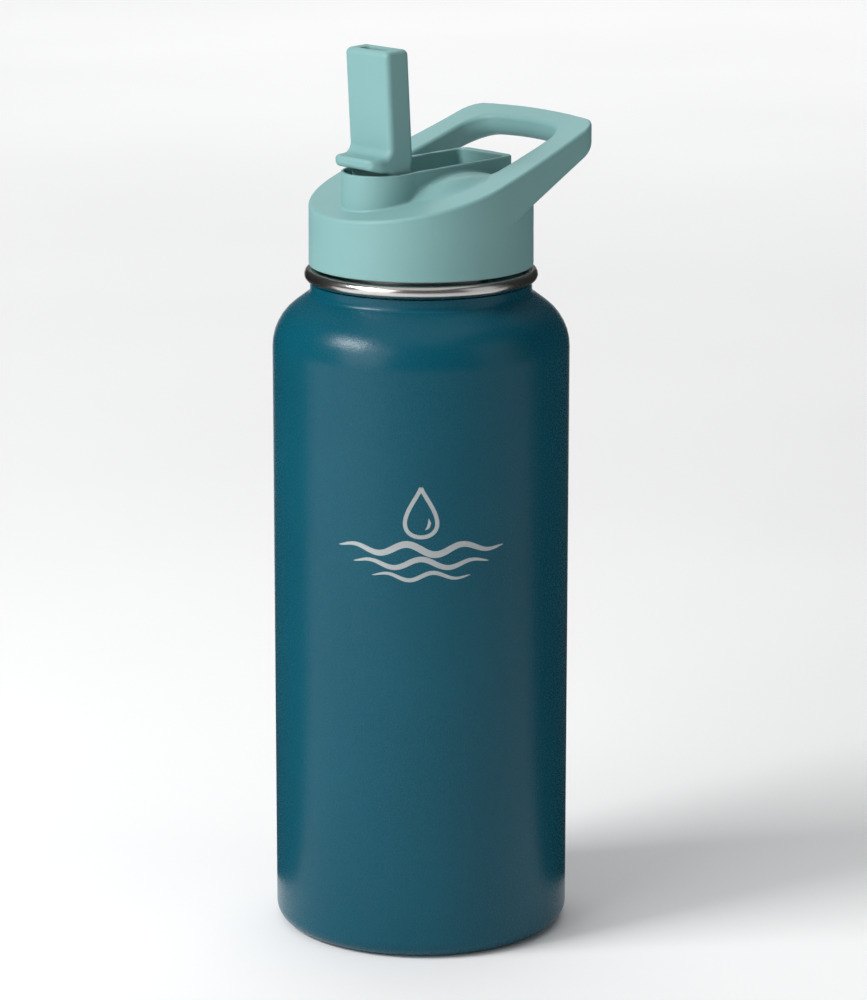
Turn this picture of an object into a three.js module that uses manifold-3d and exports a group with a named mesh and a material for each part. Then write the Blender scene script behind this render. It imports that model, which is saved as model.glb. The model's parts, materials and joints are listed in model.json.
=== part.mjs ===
// Insulated water bottle with a screw-on straw lid, in millimetres.
// Origin: centre of the base, on the surface the bottle stands on. +Z is up, +X points to the
// carrying handle, and the lid is symmetric about the XZ plane.
import * as THREE from 'three';
import { mergeVertices } from 'three/addons/utils/BufferGeometryUtils.js';
import Module from 'manifold-3d';

const wasm = await Module();
wasm.setup();

// ---- driving dimensions -------------------------------------------------------------------
const gap = 0.3;                  // clearance between neighbouring pieces
const lip = 218;                  // height of the bottle's lip

const body = {
  radius: 45.5,
  wall: 0.5,
  straightTop: 183,               // where the shoulder starts
  shoulderRadius: 16.05,
  shoulderTurn: 53.3,             // degrees turned before the straight cone
  coneTop: [34.5, 199.2],
  neckRadius: 33.9,               // short neck that carries the collar
  footRadius: 5.3,
  footInner: 36.5,                // inner radius of the ring the bottle stands on
  footDepth: 4,                   // height of that ring's inner wall
};
const collar = { radius: 35.7, bottom: 203.2, top: 207.3, round: 1.8, wall: 0.8 };
const flask = {
  radius: 41.6,
  wall: 0.5,
  bottom: 11,
  cornerRadius: 9,
  shoulder: 182,
  shoulderRadius: 12,
  shoulderTurn: 70,
  neckOuter: 29,
  neckInner: 27,
  lipChamfer: 0.6,
};
const base = {                    // what closes the vacuum under the flask, each from, to in height
  seat: [4.5, 5.1],
  well: [5, 7],
  wellRadius: 6,
  holeRadius: 2,
  plug: [4.6, 6],
  getter: [7.3, 9.5],
  getterRadius: 4,
  foil: [22, 178],
  coverBottom: 1.6,
  coverThick: 0.7,
  coverTop: 4.2,
};
const thread = {
  lead: 4,
  turns: 1.25,
  maleRoot: 29,
  maleCrest: 30.3,
  femaleRoot: 30.9,
  femaleCrest: 29.5,
  crestHalf: 0.5,
  rootHalf: 1,
  maleTop: 215.4,
  overlap: 0.4,                   // how far each ridge is sunk in its wall
};
const lid = {
  radius: 34.3,
  bottom: 208.2,
  bore: 31.9,                     // radius of the pocket that takes the liner
  pocketTop: 222.9,
  foamRadius: 24,
  foamTop: 226.3,
  topAtAxis: 234.4,               // the top face is a shallow hollow ramp along X
  topSlope: 0.3007,
  topCurve: 0.0013,
  deckTop: 237.3,                 // the arched deck inside the ramp
  deckCentre: 5,
  deckArch: 36,                   // radius of the arch near its crown
};
const handle = {
  tangentX: 3.85,
  tangentY: 34.08,
  cornerX: 46.4,
  cornerY: 29.3,
  endX: 48.4,
  cornerRound: 6,
  underSlope: 0.52,
  underAt: [44.5, 241.7],         // a point on the sloping underside
};
const recess = {
  centreX: 5.5,
  radius: 21.8,
  sideX: 24,
  sideY: 22,
  cornerX: 38.8,
  cornerY: 19.4,
  endX: 41.9,
  round: 6,
};
const hinge = { x: -15.5, z: 236, pinRadius: 1.5, pinInner: 8.5, pinOuter: 11.7 };
const pod = { x: -15.2, radius: 12.5, inner: 11.65 };
const trough = {
  rimAtAxis: 239.2,
  rimSlope: 0.038,
  outer: 12.3,
  inner: 10.6,
  floor: 231.2,
  noseX: 28,
  noseRound: 3.5,
  keelX: 19,                      // where the cradle's underside leaves the deck
  keelEnd: 233.8,
  wellEnd: 24.4,
};
const spout = {
  halfWidth: 10.1,
  thickness: 8.2,
  backStep: 0.7,                  // extra thickness behind, above the hub
  backFrom: 6,
  top: 275.3,
  lean: 3.2,                      // degrees towards the front
  cornerRound: 2,
  hubRadius: 4.1,
  slotHalf: [1.8, 5.5],
  slotBottom: 239,
  boreRadius: 2.6,
  tabReach: 7.4,                  // how far the thumb tab stands out from the blade
  tabRound: 5,
};
const straw = { x: hinge.x, outer: 4, inner: 3.1, bottom: 17, top: 214 };
const port = { radius: 4.7, sealRadius: 5.6, sealDepth: 1.6 };   // where the straw fitting passes
const fitting = {
  bore: 2.6,
  stemRadius: 4.4,
  stemTop: 229.3,
  flangeRadius: 7,
  flange: [217.3, 218.8],
  socketRadius: 5.6,
  socket: [206, 217],
};
const vent = { x: 12, radius: 1.2, clearRadius: 1.5, stemRadius: 1.1, flapRadius: 3.6 };
const gasket = { inner: 26.4, outer: 30.2, thick: 1.8 };
const above = 260;                // a height over every piece of the lid

const rounds = 40;                // facets round the large turned pieces
const fine = 24;                  // facets round the small ones

// ---- materials ----------------------------------------------------------------------------
const finish = (color, roughness, metalness) =>
  new THREE.MeshStandardMaterial({ color, roughness, metalness });
const paint = finish(0x07566a, 0.45, 0.2);
const steel = finish(0xc9c9c6, 0.25, 1);
const copper = finish(0xb87444, 0.35, 1);
const plastic = finish(0x86b6b4, 0.5, 0);
const darkPlastic = finish(0x5b8f90, 0.55, 0);
const silicone = finish(0xd8dcd9, 0.6, 0);
const clearPlastic = finish(0xdfe6e6, 0.3, 0);
const foam = finish(0xefece2, 0.9, 0);
const solder = finish(0x9a9a95, 0.4, 1);

// ---- mesh helpers -------------------------------------------------------------------------
const radians = THREE.MathUtils.degToRad;

// Shares the vertices of a closed geometry and drops triangles that collapse on the axis.
function weld(geometry) {
  const bare = geometry.clone();
  bare.deleteAttribute('normal');
  bare.deleteAttribute('uv');
  const merged = mergeVertices(bare, 1e-4);
  const index = merged.index.array;
  const kept = [];
  for (let i = 0; i < index.length; i += 3) {
    const [a, b, c] = [index[i], index[i + 1], index[i + 2]];
    if (a !== b && b !== c && c !== a) kept.push(a, b, c);
  }
  merged.setIndex(kept);
  return merged;
}

function solid(geometry) {
  const welded = weld(geometry);
  return new wasm.Manifold(new wasm.Mesh({
    numProp: 3,
    vertProperties: new Float32Array(welded.attributes.position.array),
    triVerts: new Uint32Array(welded.index.array),
  }));
}

function surface(manifold) {
  const { vertProperties, triVerts } = manifold.getMesh();
  const geometry = new THREE.BufferGeometry();
  geometry.setAttribute('position', new THREE.BufferAttribute(vertProperties, 3));
  geometry.setIndex(new THREE.BufferAttribute(triVerts, 1));
  return geometry;
}

const group = new THREE.Group();

function piece(name, manifold, material) {
  const mesh = new THREE.Mesh(surface(manifold), material);
  mesh.name = name;
  group.add(mesh);
}

// Points of an arc about [x, y] from one angle to another, in degrees.
function arc([x, y], radius, from, to, steps) {
  const points = [];
  for (let i = 0; i <= steps; i += 1) {
    const angle = radians(from + ((to - from) * i) / steps);
    points.push([x + radius * Math.cos(angle), y + radius * Math.sin(angle)]);
  }
  return points;
}

// A turned solid about Z from a profile of [radius, height] points.
function turned(profile, segments = rounds) {
  const points = profile.map(([r, z]) => new THREE.Vector2(r, z));
  if (THREE.ShapeUtils.area(points) < 0) points.reverse();
  const onAxis = points.findIndex((p, i) => p.x === 0 && points.at(i - 1).x === 0);
  const ordered = onAxis < 0
    ? [...points, points[0]]
    : [...points.slice(onAxis), ...points.slice(0, onAxis)];
  return solid(new THREE.LatheGeometry(ordered, segments).rotateX(Math.PI / 2));
}

const rod = (radius, bottom, top, x = 0, segments = fine) =>
  turned([[0, bottom], [radius, bottom], [radius, top], [0, top]], segments).translate([x, 0, 0]);

const ring = (inner, outer, bottom, top, segments = fine) =>
  turned([[inner, bottom], [outer, bottom], [outer, top], [inner, top]], segments);

// A rod along Y between two values of y.
function crossRod(radius, from, to, x, z) {
  const geometry = new THREE.CylinderGeometry(radius, radius, to - from, 16);
  return solid(geometry.translate(x, (from + to) / 2, z));
}

const outline = (points) => new THREE.Shape(points.map(([x, y]) => new THREE.Vector2(x, y)));

// An outline in plan, raised between two heights.
function raised(shape, bottom, top) {
  const geometry = new THREE.ExtrudeGeometry(shape, {
    depth: top - bottom, bevelEnabled: false, curveSegments: 6,
  });
  return solid(geometry.translate(0, 0, bottom));
}

// An outline in the XZ plane, as wide as twice halfWidth along Y.
function sideways(points, halfWidth) {
  const geometry = new THREE.ExtrudeGeometry(outline(points), {
    depth: 2 * halfWidth, bevelEnabled: false,
  });
  return solid(geometry.rotateX(Math.PI / 2).translate(0, halfWidth, 0));
}

// A closed plan outline through corners [x, y, cut], each corner rounded over its cut length.
function rounded(corners) {
  const shape = new THREE.Shape();
  corners.forEach(([x, y, cut], i) => {
    const here = new THREE.Vector2(x, y);
    const before = corners.at(i - 1);
    const after = corners[(i + 1) % corners.length];
    const from = new THREE.Vector2(before[0] - x, before[1] - y).setLength(cut).add(here);
    const to = new THREE.Vector2(after[0] - x, after[1] - y).setLength(cut).add(here);
    if (i === 0) shape.moveTo(from.x, from.y);
    else shape.lineTo(from.x, from.y);
    if (cut > 0) shape.quadraticCurveTo(x, y, to.x, to.y);
  });
  return shape;
}

const mirrored = (corners) =>
  [...corners, ...corners.filter(([, y]) => y !== 0).reverse().map(([x, y, cut]) => [x, -y, cut])];

// A helical ridge: a trapezium swept down a helix from the given height.
function ridge(inner, outer, innerHalf, outerHalf, top) {
  const section = outline([
    [inner, -innerHalf], [outer, -outerHalf], [outer, outerHalf], [inner, innerHalf],
  ]);
  const steps = Math.round(28 * thread.turns);
  const geometry = new THREE.ExtrudeGeometry(section, { depth: 1, steps, bevelEnabled: false });
  const position = geometry.attributes.position;
  for (let i = 0; i < position.count; i += 1) {
    const along = position.getZ(i) * thread.turns;
    const angle = -along * 2 * Math.PI;
    const radius = position.getX(i);
    const height = position.getY(i) + top - along * thread.lead;
    position.setXYZ(i, radius * Math.cos(angle), radius * Math.sin(angle), height);
  }
  return solid(geometry);
}

// ---- bottle -------------------------------------------------------------------------------
function outerShell() {
  const { radius, wall, straightTop, shoulderRadius, shoulderTurn, footRadius } = body;
  const shoulder = [radius - shoulderRadius, straightTop];
  const foot = [radius - footRadius, footRadius];
  const [coneR, coneZ] = body.coneTop;
  return turned([
    [body.footInner, 0],
    ...arc(foot, footRadius, -90, 0, 4),
    ...arc(shoulder, shoulderRadius, 0, shoulderTurn, 4),
    [coneR, coneZ],
    [body.neckRadius, coneZ + 1.2],
    [body.neckRadius, collar.bottom - gap],
    [flask.neckOuter + gap, collar.bottom - gap],
    [flask.neckOuter + gap, collar.bottom - gap - wall],
    [body.neckRadius - wall, collar.bottom - gap - wall],
    [body.neckRadius - wall, coneZ],
    ...arc(shoulder, shoulderRadius - wall, shoulderTurn, 0, 3),
    ...arc(foot, footRadius - wall, 0, -90, 2),
    [body.footInner + wall, wall],
    [body.footInner + wall, body.footDepth],
    [body.footInner, body.footDepth],
  ]);
}

// A rolled ring, hollow and open towards the neck.
function neckCollar() {
  const { radius, bottom, top, round, wall } = collar;
  const inner = flask.neckOuter + gap;
  return turned([
    [inner, bottom],
    ...arc([radius - round, bottom + round], round, -60, 0, 2),
    ...arc([radius - round, top - round], round, 0, 90, 3),
    [inner, top],
    [inner, top - wall],
    [radius - round, top - wall],
    [radius - wall, top - round],
    [radius - wall, bottom + round],
    [radius - round, bottom + wall],
    [inner, bottom + wall],
  ]);
}

function innerFlask() {
  const { wall, bottom, shoulder, cornerRadius, shoulderRadius, shoulderTurn } = flask;
  const { neckOuter, neckInner, lipChamfer } = flask;
  const wide = [flask.radius - shoulderRadius, shoulder];
  const corner = [flask.radius - cornerRadius, bottom + cornerRadius];
  const vessel = turned([
    [0, bottom],
    ...arc(corner, cornerRadius, -90, 0, 3),
    ...arc(wide, shoulderRadius, 0, shoulderTurn, 3),
    [neckOuter, shoulder + shoulderRadius],
    [neckOuter, lip - lipChamfer],
    [neckOuter - lipChamfer, lip],
    [neckInner + lipChamfer, lip],
    [neckInner, lip - lipChamfer],
    [neckInner, shoulder + shoulderRadius - lipChamfer],
    ...arc(wide, shoulderRadius - wall, shoulderTurn, 0, 3),
    ...arc(corner, cornerRadius - wall, 0, -90, 3),
    [0, bottom + wall],
  ]);
  const male = ridge(
    thread.maleRoot - thread.overlap, thread.maleCrest,
    thread.rootHalf, thread.crestHalf, thread.maleTop,
  );
  return vessel.add(male);
}

function bottleInside() {
  const edge = body.footInner - gap;
  const seat = ring(base.holeRadius, edge, ...base.seat, rounds);
  const well = ring(base.holeRadius, base.wellRadius, ...base.well);
  piece('outer_base', seat.add(well), steel);
  piece('vacuum_plug', rod(base.holeRadius - gap, ...base.plug), solder);
  piece('getter_pellet', rod(base.getterRadius, ...base.getter), steel);
  const wrap = flask.radius + gap;
  piece('copper_foil', ring(wrap, wrap + 0.3, ...base.foil, rounds), copper);
  const { coverBottom, coverThick, coverTop } = base;
  piece('base_cover', turned([
    [0, coverBottom],
    [edge - 1.7, coverBottom],
    [edge, coverBottom + 0.6],
    [edge, coverTop],
    [edge - 0.6, coverTop],
    [edge - 0.6, coverBottom + coverThick],
    [0, coverBottom + coverThick],
  ]), steel);
}

// ---- lid ----------------------------------------------------------------------------------
const lidTop = (x) => lid.topAtAxis + lid.topSlope * x + lid.topCurve * x * x;
const deckTop = (x) => lid.deckTop - (x - lid.deckCentre) ** 2 / (2 * lid.deckArch);
const rim = (x) => trough.rimAtAxis + trough.rimSlope * x;
const under = (x) => handle.underAt[1] + handle.underSlope * (x - handle.underAt[0]);

// Points of a height curve at even steps in x.
function curve(height, from, to, steps) {
  const points = [];
  for (let i = 0; i <= steps; i += 1) {
    const x = from + ((to - from) * i) / steps;
    points.push([x, height(x)]);
  }
  return points;
}

// Everything below a height curve, down to a level, over the whole width of the lid.
const below = (height, bottom, from = -36, to = 50) =>
  sideways([[from, bottom], [to, bottom], ...curve(height, to, from, 10)], 36);

const recessOutline = rounded(mirrored([
  ...arc([recess.centreX, 0], recess.radius, 180, 90, 6).map(([x, y], i) => [x, i ? y : 0, 0]),
  [recess.sideX, recess.sideY, 0],
  [recess.cornerX, recess.cornerY, recess.round],
  [recess.endX, 0, 8],
]));

function handleLoop() {
  const plan = rounded(mirrored([
    [handle.tangentX, handle.tangentY, 0],
    [handle.cornerX, handle.cornerY, handle.cornerRound],
    [handle.endX, 0, 10],
  ]));
  const slab = sideways([
    [handle.tangentX, under(handle.tangentX)],
    [handle.endX, under(handle.endX)],
    ...curve(lidTop, handle.endX, handle.tangentX, 6),
  ], 36);
  return raised(plan, lid.bottom, above).intersect(slab)
    .subtract(raised(recessOutline, lid.bottom, above));
}

function cap() {
  const barrel = rod(lid.radius, lid.bottom, above, 0, rounds);
  const ramp = barrel.intersect(below(lidTop, lid.bottom - 1));
  const opening = raised(recessOutline, lid.pocketTop, above);
  const front = recess.centreX - recess.radius - 1;
  const arch = below(deckTop, lid.pocketTop - 1, front, lid.radius + 1);
  const deck = barrel.intersect(opening).intersect(arch);
  return ramp.subtract(opening).add(deck);
}

// The pod round the hinge and the cradle that the folded spout lies in.
function cradle() {
  const plan = raised(rounded(mirrored([
    [pod.x, trough.outer, 0],
    [trough.noseX - 0.6, trough.outer - 0.6, trough.noseRound],
    [trough.noseX, 0, 4],
  ])), lid.foamTop, above);
  const hull = plan.intersect(sideways([
    [pod.x, lid.foamTop],
    [trough.keelX, lid.foamTop],
    [trough.noseX + 1, trough.keelEnd],
    [trough.noseX + 1, rim(trough.noseX + 1)],
    [pod.x, rim(pod.x)],
  ], 14));
  const boss = rod(pod.radius, lid.foamTop, above, pod.x, 40)
    .intersect(below(rim, lid.bottom, pod.x - 14, pod.x + 14));
  return hull.add(boss);
}

function well() {
  const front = rod(pod.inner, trough.floor, above, pod.x, 32);
  const bed = raised(rounded(mirrored([
    [pod.x, trough.inner, 0],
    [trough.wellEnd, trough.inner, 2],
  ])), trough.floor, above);
  return front.add(bed);
}

function lidShell() {
  const shell = handleLoop().add(cap()).add(cradle()).subtract(well());
  const over = trough.floor + 1;
  const pocket = rod(lid.bore, lid.bottom - 1, lid.pocketTop, 0, rounds);
  const foamPocket = rod(lid.foamRadius, lid.bottom, lid.foamTop, 0, rounds);
  const strawPort = rod(port.radius, lid.foamTop - 1, over, straw.x);
  const seat = rod(port.sealRadius, trough.floor - port.sealDepth, over, straw.x);
  const ventHole = rod(vent.radius, lid.foamTop - 1, over, vent.x, 12);
  const reach = hinge.pinOuter + gap;
  const pinHoles = crossRod(hinge.pinRadius + gap, -reach, reach, hinge.x, hinge.z);
  return [pocket, foamPocket, strawPort, seat, ventHole, pinHoles]
    .reduce((rest, cut) => rest.subtract(cut), shell);
}

// Takes the straw fitting's and the vent's way through out of a disc of the lid.
function bored(disc) {
  const strawPort = rod(port.radius, lip, lid.topAtAxis, straw.x);
  return disc.subtract(strawPort).subtract(rod(vent.clearRadius, lip, lid.topAtAxis, vent.x, 12));
}

function lidLiner() {
  const outer = lid.bore - gap;
  const bottom = lid.pocketTop - 2.5;
  const skirt = ring(thread.femaleRoot, outer, lid.bottom + 0.8, bottom + 1, rounds);
  const disc = rod(outer, bottom, lid.pocketTop - gap, 0, rounds);
  const female = ridge(
    thread.femaleRoot + thread.overlap, thread.femaleCrest, thread.rootHalf, thread.crestHalf,
    thread.maleTop - thread.lead / 2,
  );
  return bored(skirt.add(female).add(disc));
}

function lidInside() {
  piece('lid_liner', lidLiner(), darkPlastic);
  const seat = lip + gap;
  piece('lid_gasket', ring(gasket.inner, gasket.outer, seat, seat + gasket.thick, rounds), silicone);
  const disc = rod(lid.foamRadius - gap, lid.pocketTop + 0.2, lid.foamTop - gap, 0, rounds);
  piece('foam_disc', bored(disc), foam);
  const flap = rod(vent.flapRadius, lip + 1.2, lip + 2.1, vent.x, 16);
  piece('vent_valve', flap.add(rod(vent.stemRadius, lip + 1.5, lip + 4, vent.x, 12)), silicone);
}

// ---- spout --------------------------------------------------------------------------------
// The blade is modelled upright about the hinge axis, then leaned.
function spoutPiece() {
  const half = spout.thickness / 2;
  const reach = spout.top - hinge.z;
  const back = half + spout.backStep;
  const bladePlan = rounded([
    [-half, -spout.halfWidth, spout.cornerRound],
    [back, -spout.halfWidth, spout.cornerRound],
    [back, spout.halfWidth, spout.cornerRound],
    [-half, spout.halfWidth, spout.cornerRound],
  ]);
  const blade = raised(bladePlan, 0, reach).intersect(sideways([
    [-half - 1, 0], [half, 0], [half, spout.backFrom - 2], [back, spout.backFrom],
    [back, reach + 1], [-half - 1, reach + 1],
  ], spout.halfWidth + 1));
  const hub = crossRod(spout.hubRadius, -spout.halfWidth, spout.halfWidth, 0, 0);
  const tabWidth = spout.halfWidth - 0.02;
  const front = -half - spout.tabReach;
  const tabPlan = raised(rounded([
    [front, -tabWidth, spout.tabRound], [-2, -tabWidth, 0],
    [-2, tabWidth, 0], [front, tabWidth, spout.tabRound],
  ]), 0, 12);
  const tab = sideways([
    [-2, 3.2], [-half - 2.4, 3.3], [front + 0.9, 4.7], [front, 5.6], [front, 7.8],
    [front + 0.8, 8.6], [front + 2.9, 8], [-half - 1, 8.7], [-half, 11], [-2, 11],
  ], tabWidth + 1).intersect(tabPlan);
  const [slotX, slotY] = spout.slotHalf;
  const slot = raised(rounded([
    [-slotX, -slotY, 1.5], [slotX, -slotY, 1.5], [slotX, slotY, 1.5], [-slotX, slotY, 1.5],
  ]), spout.slotBottom - hinge.z, reach + 1);
  const bore = rod(spout.boreRadius, -hinge.z, spout.slotBottom - hinge.z + 1, 0, 16);
  const sockets = [-1, 1].map((side) => {
    const ends = [side * (hinge.pinInner - gap), side * (hinge.pinOuter + gap)].sort((a, b) => a - b);
    return crossRod(hinge.pinRadius + gap, ends[0], ends[1], 0, 0);
  });
  return [slot, bore, ...sockets]
    .reduce((rest, cut) => rest.subtract(cut), blade.add(hub).add(tab))
    .rotate([0, -spout.lean, 0])
    .translate([hinge.x, 0, hinge.z]);
}

function spoutPieces() {
  piece('spout', spoutPiece(), plastic);
  const { pinRadius, pinInner, pinOuter, x, z } = hinge;
  piece('hinge_pin_left', crossRod(pinRadius, pinInner, pinOuter, x, z), steel);
  piece('hinge_pin_right', crossRod(pinRadius, -pinOuter, -pinInner, x, z), steel);
  const seal = ring(
    fitting.bore, port.sealRadius - gap, trough.floor - port.sealDepth + gap, trough.floor + 0.2,
  );
  piece('spout_seal', seal.translate([straw.x, 0, 0]), silicone);
}

function strawPieces() {
  const at = [straw.x, 0, 0];
  const { bore, flange, flangeRadius } = fitting;
  const stem = ring(bore, fitting.stemRadius, flange[0] - 1.3, fitting.stemTop);
  const collarRing = ring(straw.inner, flangeRadius, ...flange);
  const socket = ring(straw.outer + gap, fitting.socketRadius, ...fitting.socket);
  piece('straw_fitting', stem.add(collarRing).add(socket).translate(at), darkPlastic);
  const seal = ring(port.radius, flangeRadius - 0.2, flange[1] + gap, lid.pocketTop - 2.8);
  piece('fitting_seal', seal.translate(at), silicone);
  const tube = ring(straw.inner, straw.outer, straw.bottom, straw.top);
  piece('straw', tube.translate(at), clearPlastic);
}

piece('outer_shell', outerShell(), paint);
piece('neck_collar', neckCollar(), steel);
piece('inner_flask', innerFlask(), steel);
bottleInside();
piece('lid_shell', lidShell(), plastic);
lidInside();
spoutPieces();
strawPieces();

export default group;
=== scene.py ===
import json
import math

import bpy
import numpy as np
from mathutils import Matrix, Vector


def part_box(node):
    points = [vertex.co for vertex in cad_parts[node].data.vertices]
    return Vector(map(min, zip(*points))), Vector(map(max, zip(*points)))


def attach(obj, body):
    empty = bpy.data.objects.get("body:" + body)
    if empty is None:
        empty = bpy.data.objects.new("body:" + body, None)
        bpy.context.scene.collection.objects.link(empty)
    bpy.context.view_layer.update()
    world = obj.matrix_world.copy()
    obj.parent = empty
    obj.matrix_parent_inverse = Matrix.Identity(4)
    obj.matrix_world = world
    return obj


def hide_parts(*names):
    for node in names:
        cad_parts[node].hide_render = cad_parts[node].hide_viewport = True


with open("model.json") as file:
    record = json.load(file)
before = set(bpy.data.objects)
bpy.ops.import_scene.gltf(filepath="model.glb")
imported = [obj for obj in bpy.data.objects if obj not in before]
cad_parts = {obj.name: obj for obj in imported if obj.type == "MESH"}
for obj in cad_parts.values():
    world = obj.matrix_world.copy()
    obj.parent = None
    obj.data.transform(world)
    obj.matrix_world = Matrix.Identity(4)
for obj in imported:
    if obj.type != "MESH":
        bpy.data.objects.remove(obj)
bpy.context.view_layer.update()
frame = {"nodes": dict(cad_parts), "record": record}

MM = 0.001
SEGMENTS = 288        # round a turned piece
RING_SEGMENTS = 96                      # round a small one
LID_GRID, SPOUT_GRID = 0.55, 0.35       # the grids that the lid and the spout are meshed on
CAMERA_AZIMUTH = -40.0                  # degrees round the bottle, where the camera and the mark are


# ---- places and sizes, in millimetres, read from the frame ----------------------------------
def box(node):
    """A node's lowest and highest corner in millimetres."""
    low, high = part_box(node)
    return np.array(low) / MM, np.array(high) / MM


def joint(name):
    """The record of a joint."""
    return next(j for j in frame["record"]["behaviour"]["joints"] if j["name"] == name)


_, shell_high = box("outer_shell")
collar_low, collar_high = box("neck_collar")
flask_low, flask_high = box("inner_flask")
lid_low, lid_high = box("lid_shell")
_, spout_high = box("spout")
straw_low, straw_high = box("straw")
hinge_x, _, hinge_z = np.array(joint("spout_flip")["pos_m"]) / MM

BODY_R = shell_high[0]
COLLAR_R = collar_high[0]
LID_R = lid_high[1]
LID_BOTTOM = lid_low[2]
LOOP_END = lid_high[0]
SPOUT_TOP = spout_high[2]
SPOUT_HALF = spout_high[1]
STRAW_X = (straw_low[0] + straw_high[0]) / 2


# ---- node materials ---------------------------------------------------------------------------
class Nodes:
    """A material's node tree, with short calls to add and link nodes."""

    def __init__(self, name):
        self.material = bpy.data.materials.new(name)
        self.material.use_nodes = True
        self.tree = self.material.node_tree
        self.shader = self.tree.nodes["Principled BSDF"]
        self.place = self.add("ShaderNodeTexCoord").outputs["Object"]

    def add(self, kind, **values):
        node = self.tree.nodes.new(kind)
        for key, value in values.items():
            if hasattr(node, key):
                setattr(node, key, value)
            else:
                node.inputs[key.replace("_", " ")].default_value = value
        return node

    def link(self, source, target):
        self.tree.links.new(source, target)

    def set(self, **values):
        for key, value in values.items():
            self.shader.inputs[key.replace("_", " ")].default_value = value

    def noise(self, scale, detail=2.0, roughness=0.5, stretch=None):
        """Noise with features of about 1/scale metres."""
        node = self.add("ShaderNodeTexNoise", Scale=scale, Detail=detail, Roughness=roughness)
        source = self.place
        if stretch:
            mapping = self.add("ShaderNodeMapping")
            mapping.inputs["Scale"].default_value = stretch
            self.link(source, mapping.inputs["Vector"])
            source = mapping.outputs["Vector"]
        self.link(source, node.inputs["Vector"])
        return node.outputs["Fac"]

    def span(self, source, low, high, start=0.3, end=0.7):
        """Maps a value from start..end onto low..high."""
        node = self.add("ShaderNodeMapRange")
        for key, value in zip(("From Min", "From Max", "To Min", "To Max"), (start, end, low, high)):
            node.inputs[key].default_value = value
        self.link(source, node.inputs["Value"])
        return node.outputs["Result"]

    def ramp(self, source, stops):
        """A colour for each value, from (value, colour) stops."""
        node = self.add("ShaderNodeValToRGB")
        elements = node.color_ramp.elements
        while len(elements) < len(stops):
            elements.new(0.5)
        for element, (position, color) in zip(elements, stops):
            element.position = position
            element.color = (*color, 1.0)
        self.link(source, node.inputs["Fac"])
        return node.outputs["Color"]

    def bump(self, source, distance, under=None):
        """A bump of that height in metres, over another bump if one is given."""
        node = self.add("ShaderNodeBump", Strength=1.0, Distance=distance)
        self.link(source, node.inputs["Height"])
        if under is not None:
            self.link(under, node.inputs["Normal"])
        return node.outputs["Normal"]

    def finish(self, color, roughness, normal=None):
        self.link(color, self.shader.inputs["Base Color"])
        self.link(roughness, self.shader.inputs["Roughness"])
        if normal is not None:
            self.link(normal, self.shader.inputs["Normal"])
        return self.material


def powder_coat():
    """Satin paint with a fine grain over a faint orange peel."""
    m = Nodes("powder_coat")
    m.set(IOR=1.45, Specular_IOR_Level=0.27)
    grain = m.noise(2100, detail=2.0, roughness=0.6)
    peel = m.noise(420, detail=1.0)
    cloud = m.noise(22, detail=2.0)
    color = m.ramp(cloud, [(0.3, (0.0005, 0.068, 0.104)), (0.7, (0.0008, 0.075, 0.113))])
    roughness = m.span(grain, 0.2, 0.33)
    normal = m.bump(grain, 0.00004, under=m.bump(peel, 0.00003))
    return m.finish(color, roughness, normal)


def moulded_plastic(name, dark, light, low, high):
    m = Nodes(name)
    m.set(IOR=1.47, Specular_IOR_Level=0.4)
    fine = m.noise(5200, detail=1.0)
    soft = m.noise(35, detail=2.0)
    color = m.ramp(soft, [(0.3, dark), (0.7, light)])
    roughness = m.span(fine, low, high)
    return m.finish(color, roughness, m.bump(fine, 0.000012))


def lid_plastic():
    return moulded_plastic("lid_plastic", (0.182, 0.355, 0.352), (0.193, 0.371, 0.367), 0.44, 0.56)


def liner_plastic():
    return moulded_plastic("liner_plastic", (0.085, 0.235, 0.245), (0.1, 0.26, 0.27), 0.4, 0.52)


def polished_steel():
    m = Nodes("polished_steel")
    m.set(Metallic=1.0)
    turning = m.noise(160, detail=3.0, stretch=(0.02, 0.02, 60))
    smear = m.noise(60, detail=2.0)
    color = m.ramp(smear, [(0.3, (0.52, 0.50, 0.48)), (0.7, (0.6, 0.58, 0.56))])
    roughness = m.span(turning, 0.15, 0.26)
    return m.finish(color, roughness, m.bump(turning, 0.000008))


def brushed_steel():
    m = Nodes("brushed_steel")
    m.set(Metallic=1.0)
    turning = m.noise(240, detail=4.0, stretch=(0.03, 0.03, 40))
    color = m.ramp(turning, [(0.3, (0.50, 0.495, 0.485)), (0.7, (0.60, 0.595, 0.585))])
    return m.finish(color, m.span(turning, 0.26, 0.42), m.bump(turning, 0.00002))


def etched_steel():
    m = Nodes("etched_steel")
    m.set(Metallic=0.6)
    grain = m.noise(3200, detail=2.0)
    color = m.ramp(grain, [(0.3, (0.36, 0.39, 0.40)), (0.7, (0.47, 0.50, 0.50))])
    return m.finish(color, m.span(grain, 0.5, 0.68), m.bump(grain, 0.00003))


def copper():
    m = Nodes("copper_foil")
    m.set(Metallic=1.0)
    creases = m.noise(120, detail=5.0, roughness=0.65)
    color = m.ramp(creases, [(0.3, (0.62, 0.27, 0.15)), (0.7, (0.78, 0.40, 0.24))])
    return m.finish(color, m.span(creases, 0.25, 0.45), m.bump(creases, 0.0002))


def solder():
    m = Nodes("solder")
    m.set(Metallic=1.0)
    lumps = m.noise(700, detail=3.0)
    color = m.ramp(lumps, [(0.3, (0.30, 0.30, 0.29)), (0.7, (0.42, 0.42, 0.40))])
    return m.finish(color, m.span(lumps, 0.35, 0.6), m.bump(lumps, 0.0001))


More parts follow.
